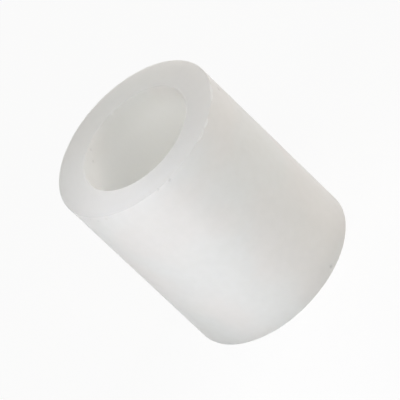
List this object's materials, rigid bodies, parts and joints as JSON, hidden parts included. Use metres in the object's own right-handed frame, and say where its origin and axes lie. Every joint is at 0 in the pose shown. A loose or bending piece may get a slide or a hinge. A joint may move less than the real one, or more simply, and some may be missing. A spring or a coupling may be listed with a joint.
{
  "type": "round spacer",
  "caption": "Plain round unthreaded spacer: a short natural nylon tube with square-cut ends and a clear bore, slipped over a screw to hold parts a set distance apart.",
  "frame": {"origin": "centre of the lower end face, on the axis of the bore", "axes": "+Z along the bore, from the lower end face to the upper one; the spacer is round, so X and Y are any two square directions"},
  "size_m": [0.0096, 0.0096, 0.0111],
  "materials": {
    "natural_nylon": "undyed milky nylon with a satin surface"
  },
  "bodies": {
    "root": {"spacer": "natural_nylon"}
  },
  "joints": []
}
